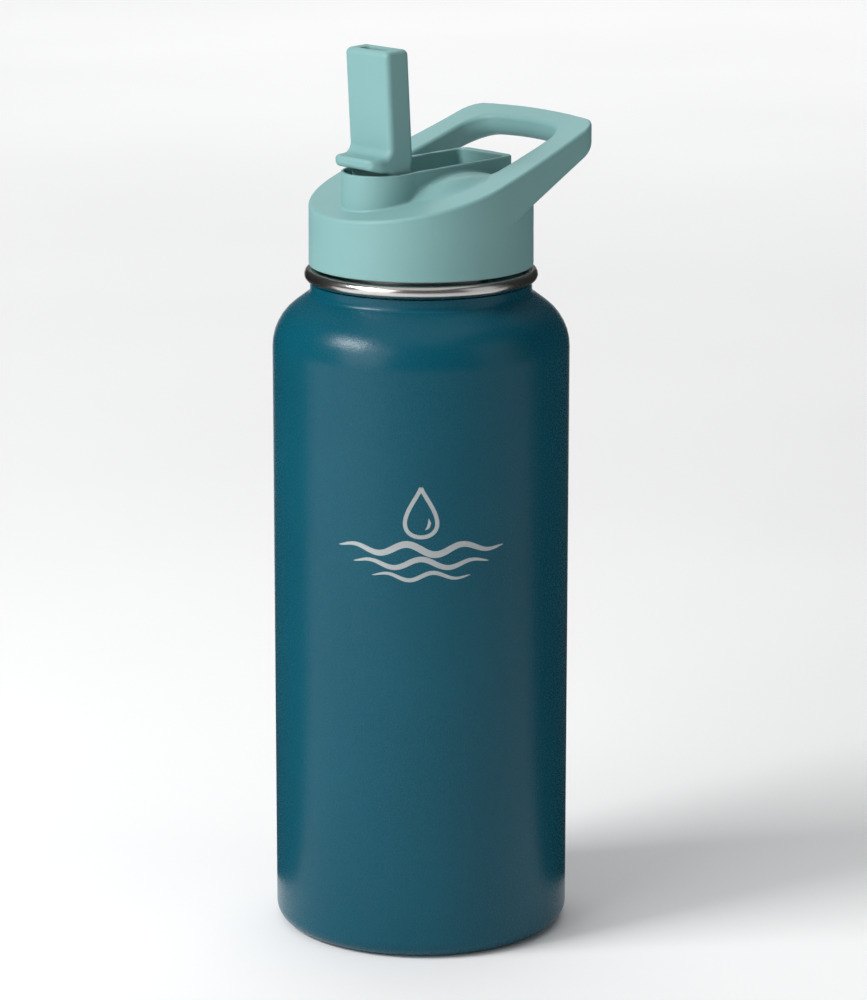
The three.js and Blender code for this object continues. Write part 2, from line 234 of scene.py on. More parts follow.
def silicone():
    m = Nodes("silicone")
    m.set(IOR=1.41, Subsurface_Weight=0.25, Subsurface_Scale=0.002)
    fine = m.noise(2600, detail=2.0)
    color = m.ramp(fine, [(0.3, (0.62, 0.645, 0.63)), (0.7, (0.68, 0.70, 0.685))])
    return m.finish(color, m.span(fine, 0.42, 0.6), m.bump(fine, 0.00002))


def straw_plastic():
    m = Nodes("straw_plastic")
    m.set(IOR=1.49, Subsurface_Weight=0.3, Subsurface_Scale=0.003)
    lines = m.noise(900, detail=2.0, stretch=(1, 1, 0.02))
    color = m.ramp(lines, [(0.3, (0.70, 0.76, 0.76)), (0.7, (0.76, 0.82, 0.82))])
    return m.finish(color, m.span(lines, 0.16, 0.28), m.bump(lines, 0.00001))


def foam():
    m = Nodes("foam")
    cells = m.add("ShaderNodeTexVoronoi", Scale=900.0)
    m.link(m.place, cells.inputs["Vector"])
    distance = cells.outputs["Distance"]
    color = m.ramp(distance, [(0.0, (0.66, 0.62, 0.53)), (0.6, (0.84, 0.80, 0.71))])
    return m.finish(color, m.span(distance, 0.95, 0.8, 0.0, 0.6), m.bump(distance, 0.0002))


MATERIALS = {
    "powder_coat": powder_coat(),
    "lid_plastic": lid_plastic(),
    "liner_plastic": liner_plastic(),
    "polished_steel": polished_steel(),
    "brushed_steel": brushed_steel(),
    "etched_steel": etched_steel(),
    "copper": copper(),
    "solder": solder(),
    "silicone": silicone(),
    "straw_plastic": straw_plastic(),
    "foam": foam(),
}


# ---- making pieces ----------------------------------------------------------------------------
ON_AXIS = 1e-6


def add_piece(name, vertices, faces, material, body, normals=None, replaces=()):
    """A smooth piece from vertices in millimetres, riding on a body."""
    mesh = bpy.data.meshes.new(name)
    mesh.from_pydata((np.asarray(vertices) * MM).tolist(), [], faces)
    mesh.validate()
    mesh.polygons.foreach_set("use_smooth", [True] * len(mesh.polygons))
    if normals is not None:
        mesh.normals_split_custom_set_from_vertices(np.asarray(normals).tolist())
    mesh.materials.append(MATERIALS[material])
    piece = bpy.data.objects.new(name, mesh)
    bpy.context.scene.collection.objects.link(piece)
    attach(piece, body)
    if replaces:
        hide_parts(*replaces)
    return piece


def filleted(corners, degrees=9.0):
    """Points and outward normals of a closed profile, counter-clockwise in radius and height.

    A corner is (radius, height, fillet), or (radius, height) on the axis, where it stays sharp.
    """
    points, normals = [], []
    places = [np.array(c[:2], float) for c in corners]
    for i, corner in enumerate(corners):
        here = places[i]
        before, after = places[i - 1], places[(i + 1) % len(places)]
        into = (here - before) / np.linalg.norm(here - before)
        out = (after - here) / np.linalg.norm(after - here)
        turn = math.atan2(into[0] * out[1] - into[1] * out[0], into @ out)
        side = np.array([into[1], -into[0]])
        mean = side + (out[1], -out[0])
        if here[0] < ON_AXIS:
            points.append(here)
            normals.append(np.array([0.0, math.copysign(1, mean[1])]))
            continue
        fillet = corner[2]
        if fillet == 0:
            points.append(here)
            normals.append(mean / np.linalg.norm(mean))
            continue
        reach = fillet * math.tan(abs(turn) / 2)
        centre = here - into * reach - side * fillet * math.copysign(1, turn)
        steps = max(2, math.ceil(math.degrees(abs(turn)) / degrees))
        for k in range(steps + 1):
            angle = turn * k / steps
            c, s = math.cos(angle), math.sin(angle)
            normal = np.array([side[0] * c - side[1] * s, side[0] * s + side[1] * c])
            points.append(centre + normal * fillet * math.copysign(1, turn))
            normals.append(normal)
    return np.array(points), np.array(normals)


def turned(corners, centre_x=0.0, segments=SEGMENTS):
    """Vertices, faces and normals of a solid turned about the vertical through centre_x."""
    points, normals = filleted(corners)
    angles = np.arange(segments) * 2 * math.pi / segments
    vertices, turned_normals, rows = [], [], []
    for (radius, height), (out, up) in zip(points, normals):
        if radius < ON_AXIS:
            rows.append([len(vertices)] * segments)
            vertices.append((centre_x, 0.0, height))
            turned_normals.append((0.0, 0.0, up))
            continue
        rows.append(range(len(vertices), len(vertices) + segments))
        for a in angles:
            vertices.append((centre_x + radius * math.cos(a), radius * math.sin(a), height))
            turned_normals.append((out * math.cos(a), out * math.sin(a), up))
    faces = []
    for row, above in zip(rows, rows[1:] + rows[:1]):
        for k in range(segments):
            n = (k + 1) % segments
            face = list(dict.fromkeys((row[k], row[n], above[n], above[k])))
            if len(face) > 2:
                faces.append(face)
    return vertices, faces, turned_normals


def add_turned(name, corners, material, body, node, centre_x=0.0, segments=SEGMENTS):
    """A turned piece in the place of a node."""
    vertices, faces, normals = turned(corners, centre_x, segments)
    add_piece(name, vertices, faces, material, body, normals, replaces=[node])


# ---- solids from distance fields --------------------------------------------------------------
# A field is a distance in millimetres, negative inside. The last value that a join is given is its
# fillet's radius.
NET_MARGIN = 1.5            # how far the grid reaches past the piece
RELAX_PASSES, SETTLE_PASSES = 3, 2


def rounded_and(a, b, radius):
    """Where both are inside, with the outer edge rounded."""
    reach = np.hypot(np.maximum(a + radius, 0), np.maximum(b + radius, 0))
    return np.minimum(np.maximum(a, b), -radius) + reach


def rounded_or(a, b, radius):
    """Where either is inside, with the inner corner filleted."""
    return -rounded_and(-a, -b, radius)


def cut(a, b, radius):
    """Where a is inside and b isn't, with the edge rounded."""
    return rounded_and(a, -b, radius)


def cell_corners(values):
    """The grid's values at each of a cell's eight corners."""
    return [
        values[i:values.shape[0] - 1 + i, j:values.shape[1] - 1 + j, k:values.shape[2] - 1 + k]
        for i in (0, 1) for j in (0, 1) for k in (0, 1)
    ]


def net_vertices(values, low, step):
    """One vertex in each cell that the surface crosses, and each cell's vertex number."""
    corners = np.stack([c.ravel() for c in cell_corners(values)])
    crossed = (corners.min(axis=0) < 0) & (corners.max(axis=0) >= 0)
    corners = corners[:, crossed]
    offsets = np.array([(i, j, k) for i in (0, 1) for j in (0, 1) for k in (0, 1)], float)
    total, count = np.zeros((corners.shape[1], 3)), np.zeros(corners.shape[1])
    for a in range(8):
        for b in range(a + 1, 8):
            if np.abs(offsets[a] - offsets[b]).sum() != 1:
                continue
            va, vb = corners[a], corners[b]
            cross = (va < 0) != (vb < 0)
            t = va[cross] / (va[cross] - vb[cross])
            total[cross] += offsets[a] + t[:, None] * (offsets[b] - offsets[a])
            count[cross] += 1
    shape = tuple(n - 1 for n in values.shape)
    cells = np.stack(np.unravel_index(np.flatnonzero(crossed), shape), axis=1)
    numbers = np.full(shape, -1, np.int64)
    numbers[tuple(cells.T)] = np.arange(len(cells))
    return low + (cells + total / count[:, None]) * step, numbers


def net_faces(values, numbers):
    """A quad across each grid edge that the surface crosses, facing outwards."""
    inside = values < 0
    faces = []
    for axis in range(3):
        u, v = (axis + 1) % 3, (axis + 2) % 3
        first = np.take(inside, range(inside.shape[axis] - 1), axis)
        second = np.take(inside, range(1, inside.shape[axis]), axis)
        at = np.argwhere(first != second)
        at = at[(at[:, u] > 0) & (at[:, v] > 0)]
        at = at[(at[:, u] < numbers.shape[u]) & (at[:, v] < numbers.shape[v])]
        ring = []
        for du, dv in ((1, 1), (0, 1), (0, 0), (1, 0)):
            cell = at.copy()
            cell[:, u] -= du
            cell[:, v] -= dv
            ring.append(numbers[tuple(cell.T)])
        quads = np.stack(ring, axis=1)
        leaving = inside[tuple(at.T)]
        faces.append(quads[leaving])
        faces.append(quads[~leaving][:, ::-1])
    return np.concatenate(faces)


def gradient(field, points, reach=0.02):
    """A field's slope at each point, from samples on both sides of it."""
    x, y, z = points.T
    slopes = np.stack([
        field(x + reach, y, z) - field(x - reach, y, z),
        field(x, y + reach, z) - field(x, y - reach, z),
        field(x, y, z + reach) - field(x, y, z - reach),
    ], axis=1)
    return slopes / (2 * reach)


def settle(field, points, limit):
    """Moves points onto the field's surface, by at most limit."""
    slope = gradient(field, points)
    size = np.maximum((slope ** 2).sum(axis=1), 0.05)
    move = -(field(*points.T) / size)[:, None] * slope
    length = np.maximum(np.linalg.norm(move, axis=1), 1e-9)
    return points + move * np.minimum(1, limit / length)[:, None]


def relax(points, faces):
    """Half way from each point to the mean of its neighbours."""
    starts = faces.ravel()
    ends = np.roll(faces, -1, axis=1).ravel()
    a, b = np.concatenate([starts, ends]), np.concatenate([ends, starts])
    count = np.bincount(a, minlength=len(points))
    mean = np.stack([
        np.bincount(a, weights=points[b, i], minlength=len(points)) / count for i in range(3)
    ], axis=1)
    return (points + mean) / 2


def net(field, low, high, step):
    """Vertices, quads and normals of a field that is the same on both sides of the XZ plane."""
    low, high = np.array(low, float), np.array(high, float)
    side = np.arange(0, high[1] + step, step)
    x, y, z = np.meshgrid(
        np.arange(low[0], high[0] + step, step), side, np.arange(low[2], high[2] + step, step),
        indexing="ij", sparse=True,
    )
    half = field(x, y, z)
    values = np.concatenate([half[:, :0:-1], half], axis=1)
    low[1] = -side[-1]
    points, numbers = net_vertices(values, low, step)
    faces = net_faces(values, numbers)
    for _ in range(RELAX_PASSES):
        points = settle(field, relax(points, faces), step / 2)
    for _ in range(SETTLE_PASSES):
        points = settle(field, points, step / 2)
    normals = gradient(field, points)
    normals /= np.maximum(np.linalg.norm(normals, axis=1), 1e-9)[:, None]
    return points, faces, normals


def add_net(name, field, step, material, body, node):
    """A piece meshed from a field, in the place of a node."""
    low, high = box(node)
    step *= 1
    points, faces, normals = net(field, low - NET_MARGIN, high + NET_MARGIN, step)
    add_piece(name, points, faces.tolist(), material, body, normals, replaces=[node])


# ---- bottle -----------------------------------------------------------------------------------
SHEET = 0.5                 # the steel's thickness
GAP = 0.3
NECK_R, NECK_BORE = 29.0, 27.0
PAINTED_NECK_R, PAINTED_NECK_HEIGHT = 33.9, 3.2
SHOULDER_ROUND, SHOULDER_DROP = 16.05, 8.65
FOOT_R, FOOT_ROUND, FOOT_DEPTH = 36.5, 5.3, 4.0
COLLAR_WALL = 0.8
FLASK_SHOULDER = 24.0       # below the lip
THREAD = {"root": 28.5, "crest": 30.3, "root_half": 1.0, "crest_half": 0.5,
          "top": 215.4, "lead": 4.0, "turns": 1.25}
THREAD_FADE = 1 / 12        # the part of the thread that each end thins over


def add_outer_shell():
    top = shell_high[2]
    neck_foot = top - PAINTED_NECK_HEIGHT
    shoulder = neck_foot - SHOULDER_DROP
    add_turned("painted_shell", [
        (FOOT_R, 0, 0.24),
        (BODY_R, 0, FOOT_ROUND),
        (BODY_R, shoulder, SHOULDER_ROUND),
        (PAINTED_NECK_R, neck_foot, 2.2),
        (PAINTED_NECK_R, top, 0.15),
        (NECK_R + GAP, top, 0.1),
        (NECK_R + GAP, top - SHEET, 0.1),
        (PAINTED_NECK_R - SHEET, top - SHEET, 0.1),
        (PAINTED_NECK_R - SHEET, neck_foot - 0.3, 2.7),
        (BODY_R - SHEET, shoulder - 0.2, SHOULDER_ROUND - 0.55),
        (BODY_R - SHEET, SHEET, FOOT_ROUND - SHEET),
        (FOOT_R + SHEET, SHEET, 0.2),
        (FOOT_R + SHEET, FOOT_DEPTH, 0.15),
        (FOOT_R, FOOT_DEPTH, 0.15),
    ], "powder_coat", "bottle", "outer_shell")


def add_collar():
    """The steel ring, a hollow roll round the neck."""
    low, high = collar_low[2], collar_high[2]
    inner = NECK_R + GAP
    roll = (high - low) / 2 - 0.05
    add_turned("rolled_collar", [
        (inner, low, 0.2),
        (COLLAR_R, low, roll),
        (COLLAR_R, high, roll),
        (inner, high, 0.3),
        (inner, high - COLLAR_WALL, 0.2),
        (COLLAR_R - COLLAR_WALL, high - COLLAR_WALL, roll - COLLAR_WALL),
        (COLLAR_R - COLLAR_WALL, low + COLLAR_WALL, roll - COLLAR_WALL),
        (inner, low + COLLAR_WALL, 0.2),
    ], "polished_steel", "bottle", "neck_collar")


def thread_profile():
    """The ridge's outline, as radii and heights about its own middle."""
    root, crest = THREAD["root"], THREAD["crest"]
    root_half, crest_half = THREAD["root_half"], THREAD["crest_half"]
    profile, _ = filleted([
        (root, -root_half, 0.0), (crest, -crest_half, 0.3),
        (crest, crest_half, 0.3), (root, root_half, 0.0),
    ], degrees=30.0)
    return profile


def thread_mesh(segments):
    """A rounded ridge down a helix, thinning to nothing at both ends."""
    profile, root, turns = thread_profile(), THREAD["root"], THREAD["turns"]
    count, steps = len(profile), int(segments * turns)
    vertices, faces = [], []
    for i in range(steps + 1):
        along = i / steps
        fade = math.sqrt(min(1.0, along / THREAD_FADE, (1 - along) / THREAD_FADE) + 1e-4)
        angle = -along * turns * 2 * math.pi
        for radius, height in profile:
            r = root + (radius - root) * fade
            z = THREAD["top"] - along * turns * THREAD["lead"] + height * (0.3 + 0.7 * fade)
            vertices.append((r * math.cos(angle), r * math.sin(angle), z))
    for i in range(steps):
        here, there = i * count, (i + 1) * count
        for k in range(count):
            n = (k + 1) % count
            faces.append((here + k, here + n, there + n, there + k))
    faces.append(tuple(range(count))[::-1])
    faces.append(tuple(steps * count + k for k in range(count)))
    return vertices, faces


def add_flask():
    """The inner flask with its threaded neck."""
    lip, low, radius = flask_high[2], flask_low[2], flask_high[0]
    shoulder = lip - FLASK_SHOULDER
    vertices, faces, _ = turned([
        (0, low),
        (radius, low, 9),
        (radius, shoulder, 12),
        (NECK_R, shoulder + 0.4, 2.0),
        (NECK_R, lip, 0.9),
        (NECK_BORE, lip, 0.9),
        (NECK_BORE, shoulder - 0.6, 2.0),
        (radius - SHEET, shoulder - 0.6, 11),
        (radius - SHEET, low + SHEET, 8.5),
        (0, low + SHEET),
    ])
    start = len(vertices)
    thread_vertices, thread_faces = thread_mesh(SEGMENTS // 2)
    faces += [tuple(v + start for v in f) for f in thread_faces]
    add_piece("threaded_flask", vertices + thread_vertices, faces, "brushed_steel", "bottle",
              replaces=["inner_flask"])


def add_base():
    """The cover disc under the bottle: a flat middle, a step down and a turned-up rim."""
    (_, _, low), (radius, _, high) = box("base_cover")
    wall = radius - 0.8
    add_turned("base_disc", [
        (0, low + 0.5),
        (24, low + 0.5, 1.5),
        (25.5, low, 1.5),
        (radius - 1.6, low, 1.0),
        (radius, low + 0.9, 0.5),
        (radius, high, 0.2),
        (wall, high, 0.2),
        (wall, low + 1.4, 0.4),
        (26.5, low + 0.7, 1.0),
        (24, low + 1.2, 1.0),
        (0, low + 1.2),
    ], "brushed_steel", "bottle", "base_cover")


# ---- etched mark: a water drop over three waves -----------------------------------------------
MARK_HEIGHT = 135.0
MARK_PROUD, MARK_ROOT = 0.04, -0.1      # its two faces, measured outwards from the paint
DROP_STEPS, WAVE_STEPS = 120, 160
DROP = {"size": 7.6, "height": 6.0, "thick": 0.62}
GLINT = [(1.2, 0.6, 0.05), (2.1, 1.4, 0.45), (2.5, 2.7, 0.5), (2.3, 4.2, 0.05)]
WAVES = [
    {"width": 52, "height": -5.4, "swells": 3, "amplitude": 1.6, "thick": 1.05},
    {"width": 42, "height": -9.8, "swells": 2.5, "amplitude": 1.4, "thick": 0.85},
    {"width": 30, "height": -13.7, "swells": 2, "amplitude": 1.2, "thick": 0.65},
]


def on_body(u, v, lift):
    """A point of the painted wall: u to the right and v up from the mark's middle."""
    angle = math.radians(CAMERA_AZIMUTH - 90) + u / BODY_R
    radius = BODY_R + lift
    return radius * math.cos(angle), radius * math.sin(angle), MARK_HEIGHT + v


def ribbon(line, closed=False):
    """A thin closed strip from (u, v, half width) points, wrapped on the body."""
    vertices, faces = [], []
    count = len(line)
    for i, (u, v, half) in enumerate(line):
        before = line[i - 1] if closed or i else line[0]
        after = line[(i + 1) % count] if closed or i < count - 1 else line[-1]
        along = np.array([after[0] - before[0], after[1] - before[1]])
        nu, nv = np.array([-along[1], along[0]]) / np.linalg.norm(along) * half
        for side, lift in ((1, MARK_ROOT), (1, MARK_PROUD), (-1, MARK_PROUD), (-1, MARK_ROOT)):
            vertices.append(on_body(u + side * nu, v + side * nv, lift))
    for i in range(count if closed else count - 1):
        n = (i + 1) % count
        for k in range(4):
            j = (k + 1) % 4
            faces.append((4 * i + k, 4 * n + k, 4 * n + j, 4 * i + j))
    if not closed:
        faces.append((0, 1, 2, 3))
        end = 4 * (count - 1)
        faces.append((end + 3, end + 2, end + 1, end))
    return vertices, faces


def wave(width, height, swells, amplitude, thick):
    """A wavy line that thins towards both ends."""
    line = []
    for i in range(WAVE_STEPS + 1):
        t = i / WAVE_STEPS
        fade = math.sin(math.pi * t) ** 0.5
        u = (t - 0.5) * width
        v = height + amplitude * fade * math.sin(2 * math.pi * swells * t)
        line.append((u, v, max(thick * fade, 0.03)))
    return line


def drop(size, height, thick):
    """A drop's outline: round below, drawn up to a point."""
    line = []
    for i in range(DROP_STEPS):
        t = 2 * math.pi * (i + 0.5) / DROP_STEPS
        squeeze = math.sin(t / 2) ** 1.6
        u = size * 0.92 * math.sin(t) * squeeze
        v = height + size * math.cos(t)
        line.append((u, v, thick))
    return line


def add_mark():
    parts = [ribbon(drop(**DROP), closed=True), ribbon(GLINT)]
    parts += [ribbon(wave(**shape)) for shape in WAVES]
    vertices, faces = [], []
    for part_vertices, part_faces in parts:
        start = len(vertices)
        vertices += part_vertices
        faces += [tuple(v + start for v in f) for f in part_faces]
    piece = add_piece("etched_mark", vertices, faces, "etched_steel", "bottle")
    piece.data.polygons.foreach_set("use_smooth", [False] * len(piece.data.polygons))


# ---- lid --------------------------------------------------------------------------------------
# Heights are above the floor. x runs from the spout's pod, in front, to the loop's end bar.
LID_DRAFT = 0.005
RAMP_AXIS, RAMP_SLOPE, RAMP_CURVE = 234.4, 0.3007, 0.0013
DECK_TOP, DECK_CENTRE, DECK_ARCH = 237.3, 5.0, 36.0
RECESS_X, RECESS_R = 5.5, 21.8
RECESS_SIDES = (RECESS_X, 21.85, 38.8, 20.3)
LOOP_TANGENT = (3.85, 34.08)
LOOP_CORNER = (46.4, 29.3)
LOOP_BOW, LOOP_CORNER_ROUND = 200.0, 5.5
END_BAR, END_BAR_BOW, END_BAR_ROUND = 6.6, 120.0, 7.0
UNDER_X, UNDER_Z, UNDER_SLOPE = 44.5, 241.7, 0.52
POD_X, POD_R, POD_BORE = -15.2, 12.5, 11.45
RIM_AXIS, RIM_SLOPE = 239.2, 0.038
CRADLE_HALF, NOSE_HALF = 12.3, 11.7
NOSE_X, NOSE_BOTTOM, NOSE_BOW = 28.0, 233.0, 120.0
KEEL_SLOPE = 0.8
WELL_FLOOR, WELL_HALF, WELL_END = 231.2, 10.6, 24.4
PIN_HOLE_R, PIN_HOLE_END = 1.8, 12.0
PORT_R, SEAT_R, SEAT_DEPTH = 4.7, 5.6, 1.6
VENT_X, VENT_R = 12.0, 1.2
POCKET_R, POCKET_TOP = 31.9, 222.9
FOAM_R, FOAM_TOP = 24.0, 226.3


def lean(height, slope):
    """A unit-slope version of a height difference over a sloping surface."""
    return height / np.sqrt(1 + slope * slope)


def disc_field(x, y, centre_x, radius):
    return np.hypot(x - centre_x, y) - radius


def ramp_field(x, z):
    """Below the lid's top, which rises from the front to the loop's end."""
    top = RAMP_AXIS + RAMP_SLOPE * x + RAMP_CURVE * x * x
    return lean(z - top, RAMP_SLOPE + 2 * RAMP_CURVE * x)


def deck_field(x, z):
    """Below the arched deck inside the ramp."""
    reach = (x - DECK_CENTRE) / DECK_ARCH
    return lean(z - (DECK_TOP - reach * reach * DECK_ARCH / 2), reach)


def barrel_field(x, y, z):
    """Inside the lid's round wall, which narrows a little towards its top."""
    return np.hypot(x, y) - LID_R + LID_DRAFT * (z - LID_BOTTOM)


def taper_field(x, y, start_x, start_half, end_x, end_half):
    """Between two lines that draw in from one half width to another."""
    slope = (start_half - end_half) / (end_x - start_x)
    return (np.abs(y) - start_half + slope * (x - start_x)) / math.sqrt(1 + slope * slope)


def bowed_end(x, y, end_x, radius):
    """In front of an end face that bows outwards to end_x."""
    return disc_field(x, y, end_x - radius, radius)


def loop_plan(x, y, z):
    """The carrying loop's outline from above."""
    sides = taper_field(x, y, *LOOP_TANGENT, *LOOP_CORNER) + LID_DRAFT * (z - LID_BOTTOM)
    return rounded_and(sides, bowed_end(x, y, LOOP_END, LOOP_BOW), LOOP_CORNER_ROUND)


def recess_plan(x, y):
    """The outline inside the ramp: round in front, tapering to the loop's end bar."""
    front = disc_field(x, y, RECESS_X, RECESS_R)
    sides = taper_field(x, y, *RECESS_SIDES)
    back = rounded_and(sides, bowed_end(x, y, LOOP_END - END_BAR, END_BAR_BOW), END_BAR_ROUND)
    return np.minimum(front, np.maximum(back, RECESS_X - x))


def loop_field(x, y, z):
    """The loop: a slab under the ramp with a window, and each of its four edges rounded."""
    top = ramp_field(x, z)
    under = lean(UNDER_Z + UNDER_SLOPE * (x - UNDER_X) - z, UNDER_SLOPE)
    plan = loop_plan(x, y, z)
    window = -recess_plan(x, y)
    slab = np.maximum(rounded_and(plan, top, 1.1), rounded_and(plan, under, 2.2))
    slab = np.maximum(slab, rounded_and(window, top, 1.2))
    slab = np.maximum(slab, rounded_and(window, under, 6.0))
    return np.maximum(slab, LOOP_TANGENT[0] - x)


def cap_field(x, y, z):
    """The lid's barrel, with the ramp as its shoulder and the deck as a dome inside it."""
    inner = recess_plan(x, y)
    ramp, deck = ramp_field(x, z), deck_field(x, z)
    shoulder = rounded_and(ramp, rounded_or(-inner, deck, 2.0), 1.3)
    dome = rounded_and(deck, rounded_or(inner, ramp, 4.0), 2.2)
    cap = rounded_and(barrel_field(x, y, z), np.minimum(shoulder, dome), 1.0)
    return rounded_and(cap, LID_BOTTOM - z, 0.4)


def cradle_field(x, y, z):
    """The pod round the hinge and the bed behind it, which ends in a nose over the deck."""
    rim = lean(z - (RIM_AXIS + RIM_SLOPE * x), RIM_SLOPE)
    sides = taper_field(x, y, POD_X, CRADLE_HALF, NOSE_X, NOSE_HALF)
    bed = rounded_and(sides, bowed_end(x, y, NOSE_X, NOSE_BOW), 2.6)
    bed = np.maximum(bed, POD_X - x)
    keel = lean(NOSE_BOTTOM - KEEL_SLOPE * (NOSE_X - x) - z, KEEL_SLOPE)
    bed = rounded_and(bed, keel, 1.0)
    cradle = rounded_and(np.minimum(disc_field(x, y, POD_X, POD_R), bed), rim, 0.35)
    return np.maximum(cradle, FOAM_TOP - z)


def well_field(x, y, z):
    """The hollow that the folded spout lies in."""
    bed = rounded_and(np.abs(y) - WELL_HALF, x - WELL_END, 2.0)
    plan = np.minimum(disc_field(x, y, POD_X, POD_BORE), np.maximum(bed, POD_X - x))
    return rounded_and(plan, WELL_FLOOR - z, 1.0)


def lid_openings(x, y, z):
    """The holes for the pins, the port, its seal, the vent and the foam."""
    above_floor = z - WELL_FLOOR - 2
    return (
        np.maximum(np.hypot(x - hinge_x, z - hinge_z) - PIN_HOLE_R, np.abs(y) - PIN_HOLE_END),
        np.maximum(disc_field(x, y, STRAW_X, PORT_R), above_floor),
        np.maximum(disc_field(x, y, STRAW_X, SEAT_R), np.abs(z - WELL_FLOOR) - SEAT_DEPTH),
        np.maximum(disc_field(x, y, VENT_X, VENT_R), above_floor),
        np.maximum(disc_field(x, y, 0, FOAM_R), z - FOAM_TOP),
    )


def lid_field(x, y, z):
    body = np.minimum(cap_field(x, y, z), loop_field(x, y, z))
    body = rounded_or(body, cradle_field(x, y, z), 0.7)
    body = cut(body, well_field(x, y, z), 0.3)
    for opening in lid_openings(x, y, z):
        body = np.maximum(body, -opening)
    pocket = np.maximum(disc_field(x, y, 0, POCKET_R), z - POCKET_TOP)
    return cut(body, pocket, 0.4)


def add_lid():
    add_net("moulded_lid", lid_field, LID_GRID, "lid_plastic", "lid", "lid_shell")


# ---- spout ------------------------------------------------------------------------------------
# u runs backwards from the hinge, w up the blade from it, and y along it.
SPOUT_LEAN = math.radians(3.2)
BLADE_HALF = 4.1            # half its thickness, and the radius of the hub at its foot
BLADE_STEP, BLADE_STEP_W = 0.7, (4.0, 6.0)
TAB_FRONT = -BLADE_HALF - 7.4
TAB_BACK = -1.5
TAB_UNDER, TAB_UNDER_SLOPE, TAB_UNDER_END = 3.3, 0.3, -6.5
TAB_TOP, TAB_LOWEST, TAB_LIP = 7.75, 3.2, 0.035
TAB_CORNER = 4.0
SLOT_HALF, SLOT_HALF_WIDTH, SLOT_BOTTOM = 1.8, 5.5, 3.0
BORE_R, BORE_TOP = 2.6, 4.0
SPOUT_PIN_R, SPOUT_PIN_START = 1.8, 8.2


def tab_section(u, w):
    """The thumb tab in side view: a lip that rises at its front edge."""
    top = w - (TAB_TOP + TAB_LIP * (u - TAB_FRONT - TAB_LOWEST) ** 2)
    rise = TAB_UNDER - TAB_UNDER_SLOPE * (u - TAB_UNDER_END)
    under = np.maximum(lean(rise - w, TAB_UNDER_SLOPE), TAB_UNDER - w)
    tab = rounded_and(rounded_and(TAB_FRONT - u, top, 1.3), under, 1.2)
    return np.maximum(tab, u - TAB_BACK)


def blade_section(u, w):
    """The blade in side view, a little thicker behind once it is clear of the hub."""
    step_start, step_end = BLADE_STEP_W
    back = BLADE_HALF + BLADE_STEP * np.clip((w - step_start) / (step_end - step_start), 0, 1)
    reach = (SPOUT_TOP - hinge_z) / math.cos(SPOUT_LEAN) - 0.2
    blade = rounded_and(np.maximum(-BLADE_HALF - u, u - back), w - reach, 1.8)
    return np.maximum(blade, -w)


def spout_solid(u, y, w):
    """The blade, hub and tab as one side view, then cut to width with the tab's corners off."""
    hub = np.maximum(np.hypot(u, w) - BLADE_HALF, w - 1.5)
    section = rounded_or(np.minimum(blade_section(u, w), hub), tab_section(u, w), 2.2)
    side = np.abs(y) - SPOUT_HALF
    corner = (TAB_FRONT - u + side) / math.sqrt(2) + TAB_CORNER * (math.sqrt(2) - 1)
    return rounded_and(rounded_and(section, side, 1.8), corner, 1.5)


def spout_field(x, y, z):
    dx, dz = x - hinge_x, z - hinge_z
    c, s = math.cos(SPOUT_LEAN), math.sin(SPOUT_LEAN)
    u, w = dx * c + dz * s, dz * c - dx * s
    slot = rounded_and(np.abs(u) - SLOT_HALF, np.abs(y) - SLOT_HALF_WIDTH, 1.6)
    slot = np.maximum(slot, SLOT_BOTTOM - w)
    bore = np.maximum(np.hypot(u, y) - BORE_R, w - BORE_TOP)
    pins = np.maximum(np.hypot(u, w) - SPOUT_PIN_R, SPOUT_PIN_START - np.abs(y))
    body = cut(spout_solid(u, y, w), slot, 0.6)
    return np.maximum(body, -np.minimum(bore, pins))


def add_spout():
    add_net("flip_spout", spout_field, SPOUT_GRID, "lid_plastic", "spout", "spout")


# ---- pieces inside ----------------------------------------------------------------------------
def add_ring(name, node, inner, fillet, material, body):
    """A round piece with a hole of that radius, in the place of a node."""
    low, high = box(node)
    middle = (low[0] + high[0]) / 2
    outer = (high[1] - low[1]) / 2
    bottom, top = low[2], high[2]
    add_turned(name, [
        (inner, bottom, fillet), (outer, bottom, fillet), (outer, top, fillet), (inner, top, fillet),
    ], material, body, node, centre_x=middle, segments=RING_SEGMENTS)


def add_inside():
    """The seals, the straw and the foil."""
    add_ring("gasket_ring", "lid_gasket", 26.4, 0.6, "silicone", "gasket")
    add_ring("spout_seat_seal", "spout_seal", BORE_R, 0.4, "silicone", "lid")
    add_ring("fitting_ring", "fitting_seal", 4.7, 0.4, "silicone", "lid")
    add_ring("drinking_straw", "straw", 3.1, 0.35, "straw_plastic", "lid")
    add_ring("foil_wrap", "copper_foil", flask_high[0] + GAP, 0.0, "copper", "bottle")


KEPT_NODES = {
    "outer_base": "brushed_steel",
    "vacuum_plug": "solder",
    "getter_pellet": "solder",
    "lid_liner": "liner_plastic",
    "foam_disc": "foam",
    "vent_valve": "silicone",
    "hinge_pin_left": "polished_steel",
    "hinge_pin_right": "polished_steel",
    "straw_fitting": "liner_plastic",
}


def dress_kept_nodes():
    """Gives the CAD nodes that stay visible their materials."""
    for name, material in KEPT_NODES.items():
        mesh = frame["nodes"][name].data
        mesh.materials.clear()
        mesh.materials.append(MATERIALS[material])


# ---- studio: metres, and degrees to the left of the camera ---------------------------------------
TARGET = Vector((0, 0, 0.134))
CAMERA_DISTANCE, CAMERA_HEIGHT = 1.1987, 0.42
FLOOR_HALF = 12.0
CARD_LIFT, CARD_NEAR, CARD_NEAR_WIDTH = 0.002, 0.06, 0.1


def towards(angle):
    """The level direction from the bottle at an angle to the left of the camera."""
    a = math.radians(CAMERA_AZIMUTH - angle)
    return Vector((math.sin(a), -math.cos(a), 0))


